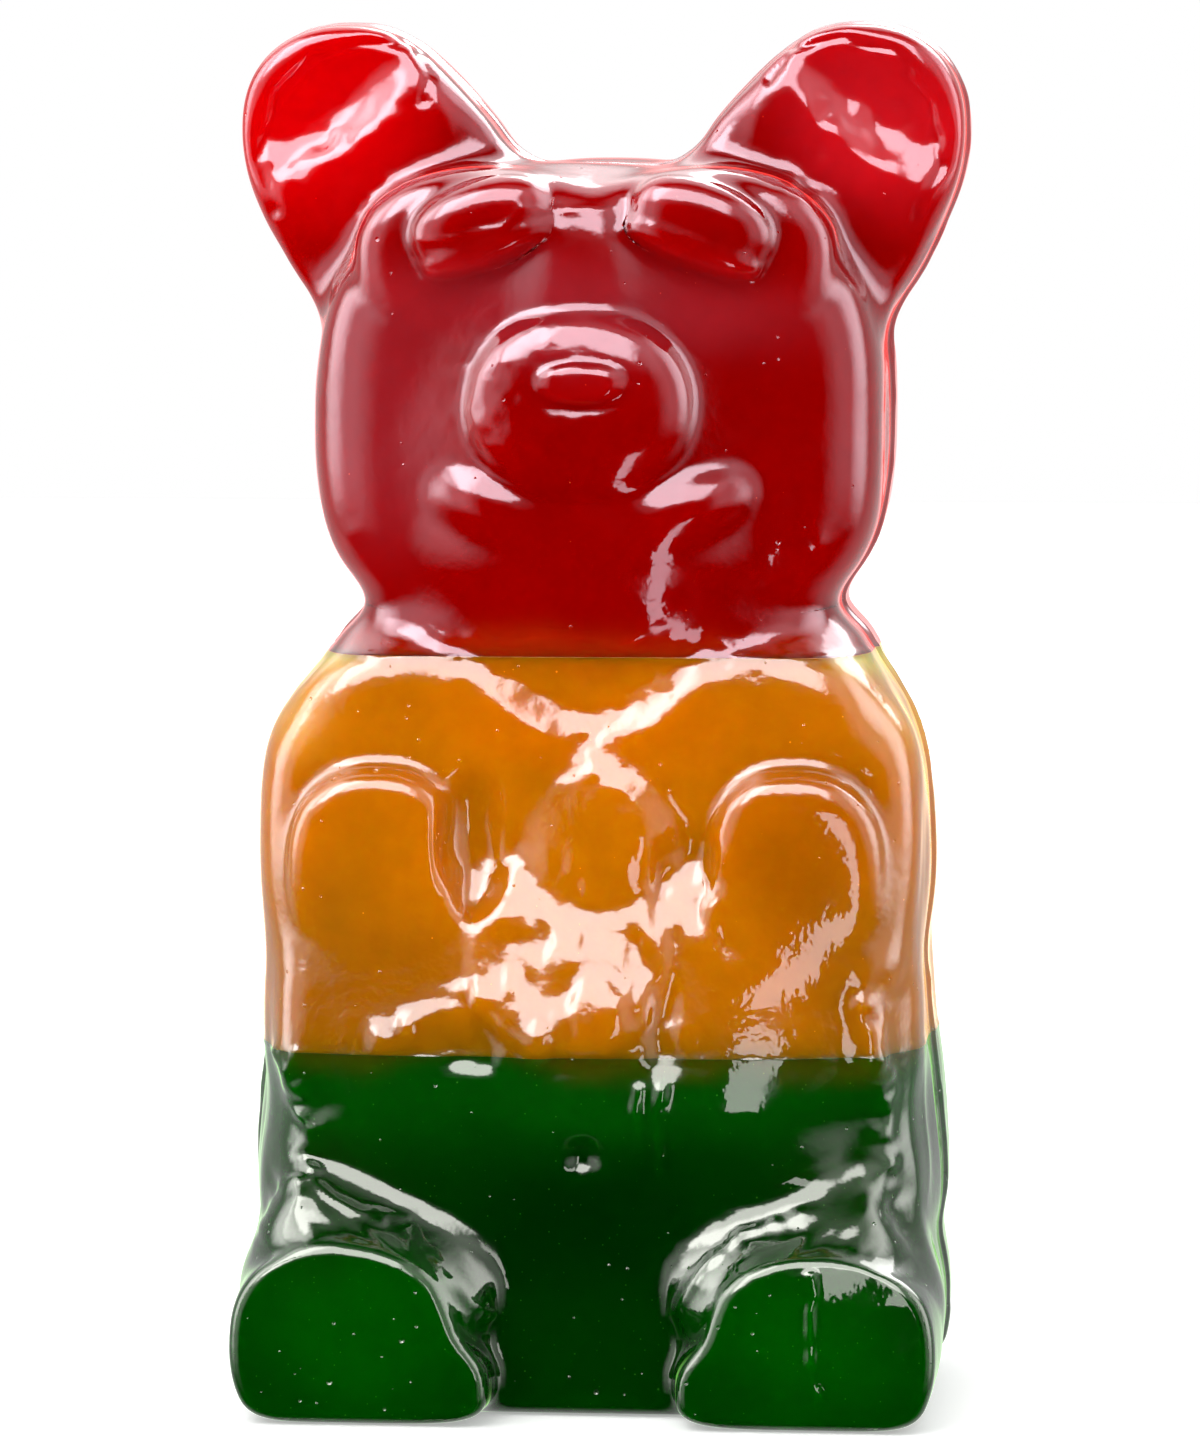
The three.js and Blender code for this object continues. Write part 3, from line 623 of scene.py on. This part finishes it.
def makeGummyBody():
    t = gummyTexture
    tree, inputs, outputs = newGroup("gummyBody", [("Tone", "NodeSocketColor", (1, 0, 0, 1)),
                                                   ("Bubble Share", "NodeSocketFloat", 0.1),
                                                   ("Pit Share", "NodeSocketFloat", 0.06),
                                                   ("Ripple", "NodeSocketFloat", 0.25)],
                                     [("Color", "NodeSocketColor"), ("Depth", "NodeSocketFloat"),
                                      ("Roughness", "NodeSocketFloat"), ("Height", "NodeSocketFloat")])
    place = node(tree, "ShaderNodeTexCoord").outputs["Object"]

    def mathNode(operation, first, second, third=None):
        made = node(tree, "ShaderNodeMath", operation=operation)
        for slot, value in enumerate((first, second, third)):
            if isinstance(value, (int, float)):
                made.inputs[slot].default_value = value
            elif value is not None:
                tree.links.new(value, made.inputs[slot])
        return made.outputs[0]

    def noise(s):
        made = node(tree, "ShaderNodeTexNoise", Scale=1 / (s["size"] * mm), Detail=s["detail"],
                    Roughness=t["roughness"])
        tree.links.new(place, made.inputs["Vector"])
        return made.outputs["Fac"]

    def remap(value, low, high, start=0.0, end=1.0):
        made = node(tree, "ShaderNodeMapRange", interpolation_type="SMOOTHSTEP")
        for socket, number in (("From Min", low), ("From Max", high), ("To Min", start), ("To Max", end)):
            made.inputs[socket].default_value = number
        tree.links.new(value, made.inputs["Value"])
        return made.outputs["Result"]

    def dots(s, share):
        # round dots, one in some of the cells
        cells = node(tree, "ShaderNodeTexVoronoi", Scale=1 / (s["size"] * mm), Randomness=1.0)
        tree.links.new(place, cells.inputs["Vector"])
        chance = node(tree, "ShaderNodeSeparateColor")
        tree.links.new(cells.outputs["Color"], chance.inputs["Color"])
        rare = mathNode("LESS_THAN", chance.outputs["Red"], inputs.outputs[share])
        least, more = s["reach"] * t["dot"]["least"], s["reach"] * t["dot"]["more"]
        wide = mathNode("MULTIPLY_ADD", chance.outputs["Green"], more, least)
        inside = mathNode("SUBTRACT", 1.0, mathNode("DIVIDE", cells.outputs["Distance"], wide))
        return mathNode("MULTIPLY", rare, remap(inside, *t["dot"]["edge"]))

    fineMottle = mathNode("MULTIPLY", noise(t["fineMottle"]), t["fineMottle"]["share"])
    mottle = mathNode("MULTIPLY_ADD", noise(t["broadMottle"]), t["broadMottle"]["share"], fineMottle)
    bright = remap(mottle, *t["bright"])
    bubbles = mathNode("MAXIMUM", dots(t["smallBubble"], "Bubble Share"),
                       dots(t["largeBubble"], "Bubble Share"))
    # less light goes deep where a bubble lies
    tree.links.new(mathNode("MULTIPLY_ADD", bubbles, t["bubble"]["cover"], 1.0), outputs.inputs["Depth"])
    # painted glint: each bubble lightens the colour and adds a pale haze
    lit = mathNode("MULTIPLY_ADD", bubbles, t["bubble"]["light"], bright)
    scaled = node(tree, "ShaderNodeVectorMath", operation="SCALE")
    tree.links.new(inputs.outputs["Tone"], scaled.inputs[0])
    tree.links.new(lit, scaled.inputs["Scale"])
    haze = node(tree, "ShaderNodeMix", data_type="RGBA", blend_type="ADD")
    haze.inputs["B"].default_value = t["bubble"]["haze"]
    tree.links.new(scaled.outputs[0], haze.inputs["A"])
    tree.links.new(bubbles, haze.inputs["Factor"])
    tree.links.new(haze.outputs["Result"], outputs.inputs["Color"])

    smear = remap(noise(t["smear"]), *t["smear"]["range"])
    grained = mathNode("MULTIPLY_ADD", noise(t["grain"]), t["grain"]["share"], smear)
    tree.links.new(grained, outputs.inputs["Roughness"])

    pits = mathNode("MAXIMUM", dots(t["smallPit"], "Pit Share"), dots(t["largePit"], "Pit Share"))
    blisters = dots(t["blister"], "Pit Share")
    fine = mathNode("MULTIPLY_ADD", noise(t["fineRipple"]), t["fineRipple"]["share"], noise(t["broadRipple"]))
    ripple = mathNode("MULTIPLY", fine, inputs.outputs["Ripple"])
    pitted = mathNode("MULTIPLY_ADD", pits, -1.0, ripple)
    raised = mathNode("MULTIPLY_ADD", blisters, t["blister"]["height"], pitted)
    tree.links.new(raised, outputs.inputs["Height"])
    return tree


gummyBody = makeGummyBody()

gummySettings = {
    # rim is the colour of the painted glow at the edges
    "redGummy": {"radius": (1.0, 0.05, 0.05), "reach": 0.02, "bubbles": 0.05, "pits": 0.12, "ripple": 0.2,
                 "rim": (0.95, 0.06, 0.05, 1), "sheen": (1.0, 0.84, 0.95, 1)},
    "orangeGummy": {"radius": (1.0, 0.45, 0.05), "reach": 0.02, "bubbles": 0.05, "pits": 0.2, "ripple": 0.4,
                    "rim": (0.98, 0.55, 0.2, 1), "sheen": (1.0, 0.96, 0.98, 1)},
    "greenGummy": {"radius": (0.05, 1.0, 0.05), "reach": 0.014, "bubbles": 0.75, "pits": 0.22, "ripple": 0.2,
                   "rim": (0.16, 0.42, 0.08, 1), "sheen": (1.0, 1.0, 0.93, 1)},
}
surfaceSettings = {"ior": 1.48, "bump": 0.25 * mm, "rimGlowFrom": 0.8, "rimGlowTo": 1.0}


def makeGummy(name):
    s = gummySettings[name]
    material = bpy.data.materials.new(name)
    material.use_nodes = True
    tree = material.node_tree
    shader = tree.nodes["Principled BSDF"]
    shader.inputs["IOR"].default_value = surfaceSettings["ior"]
    shader.inputs["Subsurface Radius"].default_value = s["radius"]
    shader.inputs["Specular Tint"].default_value = s["sheen"]
    shader.inputs["Subsurface Scale"].default_value = s["reach"]
    tone = node(tree, "ShaderNodeAttribute", attribute_name="tone")
    group = node(tree, "ShaderNodeGroup", node_tree=gummyBody)
    for socket, value in (("Bubble Share", s["bubbles"]), ("Pit Share", s["pits"]), ("Ripple", s["ripple"])):
        group.inputs[socket].default_value = value
    tree.links.new(tone.outputs["Color"], group.inputs["Tone"])
    bump = node(tree, "ShaderNodeBump", Strength=1.0, Distance=surfaceSettings["bump"])
    tree.links.new(group.outputs["Height"], bump.inputs["Height"])
    tree.links.new(bump.outputs["Normal"], shader.inputs["Normal"])
    tree.links.new(group.outputs["Depth"], shader.inputs["Subsurface Weight"])
    tree.links.new(group.outputs["Roughness"], shader.inputs["Roughness"])
    tree.links.new(group.outputs["Color"], shader.inputs["Base Color"])
    # painted glow: the rim is given emission where it is seen edge-on, standing in for light let through from
    # behind
    grazing = node(tree, "ShaderNodeLayerWeight", Blend=0.5)
    rim = node(tree, "ShaderNodeMapRange", interpolation_type="SMOOTHSTEP")
    rim.inputs["From Min"].default_value = surfaceSettings["rimGlowFrom"]
    rim.inputs["From Max"].default_value = surfaceSettings["rimGlowTo"]
    tree.links.new(grazing.outputs["Facing"], rim.inputs["Value"])
    shader.inputs["Emission Color"].default_value = s["rim"]
    tree.links.new(rim.outputs["Result"], shader.inputs["Emission Strength"])
    return material


for piece, nodeName, slotName, finish in ((green, "green_layer", "green_gummy", "greenGummy"),
                                          (orange, "orange_layer", "orange_gummy", "orangeGummy"),
                                          (red, "red_layer", "red_gummy", "redGummy")):
    paintTones(piece)
    piece.data.materials.append(makeGummy(finish))
    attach(piece, "root")
    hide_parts(nodeName)

floorSettings = {"size": 6.0, "below": 0.0003, "rough": 0.8, "glow": 0.35, "color": (0.93, 0.93, 0.93, 1)}
bm = bmesh.new()
bmesh.ops.create_grid(bm, x_segments=1, y_segments=1, size=floorSettings["size"] / 2)
bmesh.ops.translate(bm, vec=(0, 0, -floorSettings["below"]), verts=bm.verts)
floorMesh = bpy.data.meshes.new("floor")
bm.to_mesh(floorMesh)
bm.free()
floor = bpy.data.objects.new("floor", floorMesh)
scene.collection.objects.link(floor)
floorMaterial = bpy.data.materials.new("palePaper")
floorMaterial.use_nodes = True
paper = floorMaterial.node_tree.nodes["Principled BSDF"]
paper.inputs["Base Color"].default_value = floorSettings["color"]
paper.inputs["Roughness"].default_value = floorSettings["rough"]
paper.inputs["Emission Color"].default_value = (1, 1, 1, 1)
paper.inputs["Emission Strength"].default_value = floorSettings["glow"]
floor.data.materials.append(floorMaterial)
floor.visible_glossy = False      # the floor isn't mirrored in the gloss

lightSettings = {
    "window": {"at": (0.0595, -0.158, 0.053), "aim": (0.034, -0.036, 0.062), "size": (0.025, 0.09),
               "radiance": 7, "onlyGloss": True},
    "fill": {"at": (-0.44, -0.79, 1.0), "aim": (0, 0, 0.06), "size": (0.8, 0.8), "radiance": 3.0,
             "onlyGloss": False},
}
for name, s in lightSettings.items():
    data = bpy.data.lights.new(name, "AREA")
    data.shape = "RECTANGLE"
    data.size, data.size_y = s["size"]
    data.energy = s["radiance"] * math.pi * s["size"][0] * s["size"][1]
    light = bpy.data.objects.new(name, data)
    scene.collection.objects.link(light)
    away = Vector(s["at"]) - Vector(s["aim"])
    light.matrix_world = Matrix.Translation(s["at"]) @ away.to_track_quat("Z", "Y").to_matrix().to_4x4()
    light.visible_diffuse = not s["onlyGloss"]
    light.visible_glossy = s["onlyGloss"]
    light.visible_camera = False
    light.visible_transmission = False

# soft boxes around the bear, as directions: where, half width and height (tangents), glow, softness
boxSettings = {
    "key": {"az": -15, "el": 44, "wide": 0.7, "tall": 0.36, "glow": 14, "soft": 0.25},
    "leftKey": {"az": -60, "el": 42, "wide": 0.45, "tall": 0.42, "glow": 8, "soft": 0.4},
    "left": {"az": -85, "el": 18, "wide": 0.4, "tall": 0.6, "glow": 8, "soft": 0.8},
    "right": {"az": 90, "el": 20, "wide": 0.45, "tall": 0.8, "glow": 7, "soft": 0.8},
    "leftVeil": {"az": -70, "el": 20, "wide": 0.85, "tall": 0.9, "glow": 2.4, "soft": 0.6},
    "rightVeil": {"az": 70, "el": 20, "wide": 0.85, "tall": 0.9, "glow": 1.7, "soft": 0.6},
    "topVeil": {"az": 0, "el": 48, "wide": 1.0, "tall": 0.6, "glow": 1.2, "soft": 0.6},
    "back": {"az": 150, "el": 42, "wide": 0.5, "tall": 0.3, "glow": 9, "soft": 0.25},
    "top": {"az": 180, "el": 55, "wide": 1.2, "tall": 0.7, "glow": 3.0, "soft": 0.6},
}
skySettings = {"ambient": 0.7, "behind": 0.75, "seen": 1.0, "sweep": (-0.15, 0.35), "outer": 0.3,
               "facing": 0.01}


def makeSoftBox():
    tree, inputs, outputs = newGroup("softBox", [("Direction", "NodeSocketVector", (0, 0, 0)),
                                                 ("Centre", "NodeSocketVector", (0, 0, 0)),
                                                 ("Across", "NodeSocketVector", (0, 0, 0)),
                                                 ("Up", "NodeSocketVector", (0, 0, 0)),
                                                 ("Wide", "NodeSocketFloat", 1.0),
                                                 ("Tall", "NodeSocketFloat", 1.0),
                                                 ("Inner", "NodeSocketFloat", 0.5),
                                                 ("Outer", "NodeSocketFloat", 1.0),
                                                 ("Glow", "NodeSocketFloat", 1.0)],
                                     [("Glow", "NodeSocketFloat")])
    share = []
    for axis in ("Centre", "Across", "Up"):
        dot = node(tree, "ShaderNodeVectorMath", operation="DOT_PRODUCT")
        tree.links.new(inputs.outputs["Direction"], dot.inputs[0])
        tree.links.new(inputs.outputs[axis], dot.inputs[1])
        share.append(dot.outputs["Value"])
    total = node(tree, "ShaderNodeMath", operation="GREATER_THAN")
    tree.links.new(share[0], total.inputs[0])
    total.inputs[1].default_value = skySettings["facing"]
    for part, extent in ((share[1], "Wide"), (share[2], "Tall")):
        size = node(tree, "ShaderNodeMath", operation="MULTIPLY")
        tree.links.new(share[0], size.inputs[0])
        tree.links.new(inputs.outputs[extent], size.inputs[1])
        ratio = node(tree, "ShaderNodeMath", operation="DIVIDE")
        tree.links.new(part, ratio.inputs[0])
        tree.links.new(size.outputs[0], ratio.inputs[1])
        offset = node(tree, "ShaderNodeMath", operation="ABSOLUTE")
        tree.links.new(ratio.outputs[0], offset.inputs[0])
        edge = node(tree, "ShaderNodeMapRange", interpolation_type="SMOOTHSTEP")
        edge.inputs["To Min"].default_value = 1.0
        edge.inputs["To Max"].default_value = 0.0
        tree.links.new(offset.outputs[0], edge.inputs["Value"])
        tree.links.new(inputs.outputs["Inner"], edge.inputs["From Min"])
        tree.links.new(inputs.outputs["Outer"], edge.inputs["From Max"])
        both = node(tree, "ShaderNodeMath", operation="MULTIPLY")
        tree.links.new(total.outputs[0], both.inputs[0])
        tree.links.new(edge.outputs["Result"], both.inputs[1])
        total = both
    lit = node(tree, "ShaderNodeMath", operation="MULTIPLY")
    tree.links.new(total.outputs[0], lit.inputs[0])
    tree.links.new(inputs.outputs["Glow"], lit.inputs[1])
    tree.links.new(lit.outputs[0], outputs.inputs["Glow"])
    return tree


softBox = makeSoftBox()
world = bpy.data.worlds.new("studio")
scene.world = world
world.use_nodes = True
wt = world.node_tree
place = node(wt, "ShaderNodeTexCoord")
axes = node(wt, "ShaderNodeSeparateXYZ")
wt.links.new(place.outputs["Generated"], axes.inputs["Vector"])
sweep = node(wt, "ShaderNodeMapRange", interpolation_type="SMOOTHSTEP")
sweep.inputs["From Min"].default_value, sweep.inputs["From Max"].default_value = skySettings["sweep"]
sweep.inputs["To Min"].default_value = 0.0
sweep.inputs["To Max"].default_value = skySettings["behind"]
wt.links.new(axes.outputs["Y"], sweep.inputs["Value"])
glow = sweep.outputs["Result"]
for name, s in boxSettings.items():
    az, el = math.radians(s["az"]), math.radians(s["el"])
    centre = Vector((math.sin(az) * math.cos(el), -math.cos(az) * math.cos(el), math.sin(el)))
    across = Vector((math.cos(az), math.sin(az), 0))
    box = node(wt, "ShaderNodeGroup", node_tree=softBox, name=name)
    for socket, value in {"Centre": centre, "Across": across, "Up": across.cross(centre), "Wide": s["wide"],
                          "Tall": s["tall"], "Inner": 1 - s["soft"],
                          "Outer": 1 + skySettings["outer"] * s["soft"], "Glow": s["glow"]}.items():
        box.inputs[socket].default_value = value
    wt.links.new(place.outputs["Generated"], box.inputs["Direction"])
    more = node(wt, "ShaderNodeMath", operation="ADD")
    wt.links.new(glow, more.inputs[0])
    wt.links.new(box.outputs["Glow"], more.inputs[1])
    glow = more.outputs[0]
path = node(wt, "ShaderNodeLightPath")
gloss = node(wt, "ShaderNodeMix", data_type="FLOAT")
wt.links.new(path.outputs["Is Glossy Ray"], gloss.inputs["Factor"])
gloss.inputs["A"].default_value = skySettings["ambient"]
wt.links.new(glow, gloss.inputs["B"])
seen = node(wt, "ShaderNodeMix", data_type="FLOAT")
wt.links.new(path.outputs["Is Camera Ray"], seen.inputs["Factor"])
wt.links.new(gloss.outputs["Result"], seen.inputs["A"])
seen.inputs["B"].default_value = skySettings["seen"]
wt.links.new(seen.outputs["Result"], wt.nodes["Background"].inputs["Strength"])
wt.nodes["Background"].inputs["Color"].default_value = (1, 1, 1, 1)
scene.view_settings.view_transform = "Standard"
scene.view_settings.look = "None"

cameraSettings = {"target": (-0.9, 0.7, 118.3), "far": 1100, "az": 5, "el": 5, "lens": 155.37, "sensor": 36,
                  "clip": 20}
data = bpy.data.cameras.new("camera")
data.sensor_width = cameraSettings["sensor"]
data.lens = cameraSettings["lens"]
data.clip_end = cameraSettings["clip"]
camera = bpy.data.objects.new("camera", data)
scene.collection.objects.link(camera)
az, el = math.radians(cameraSettings["az"]), math.radians(cameraSettings["el"])
away = Vector((math.sin(az) * math.cos(el), -math.cos(az) * math.cos(el), math.sin(el)))
target = Vector(cameraSettings["target"]) * mm
stand = Matrix.Translation(target + away * cameraSettings["far"] * mm)
camera.matrix_world = stand @ away.to_track_quat("Z", "Y").to_matrix().to_4x4()
scene.camera = camera
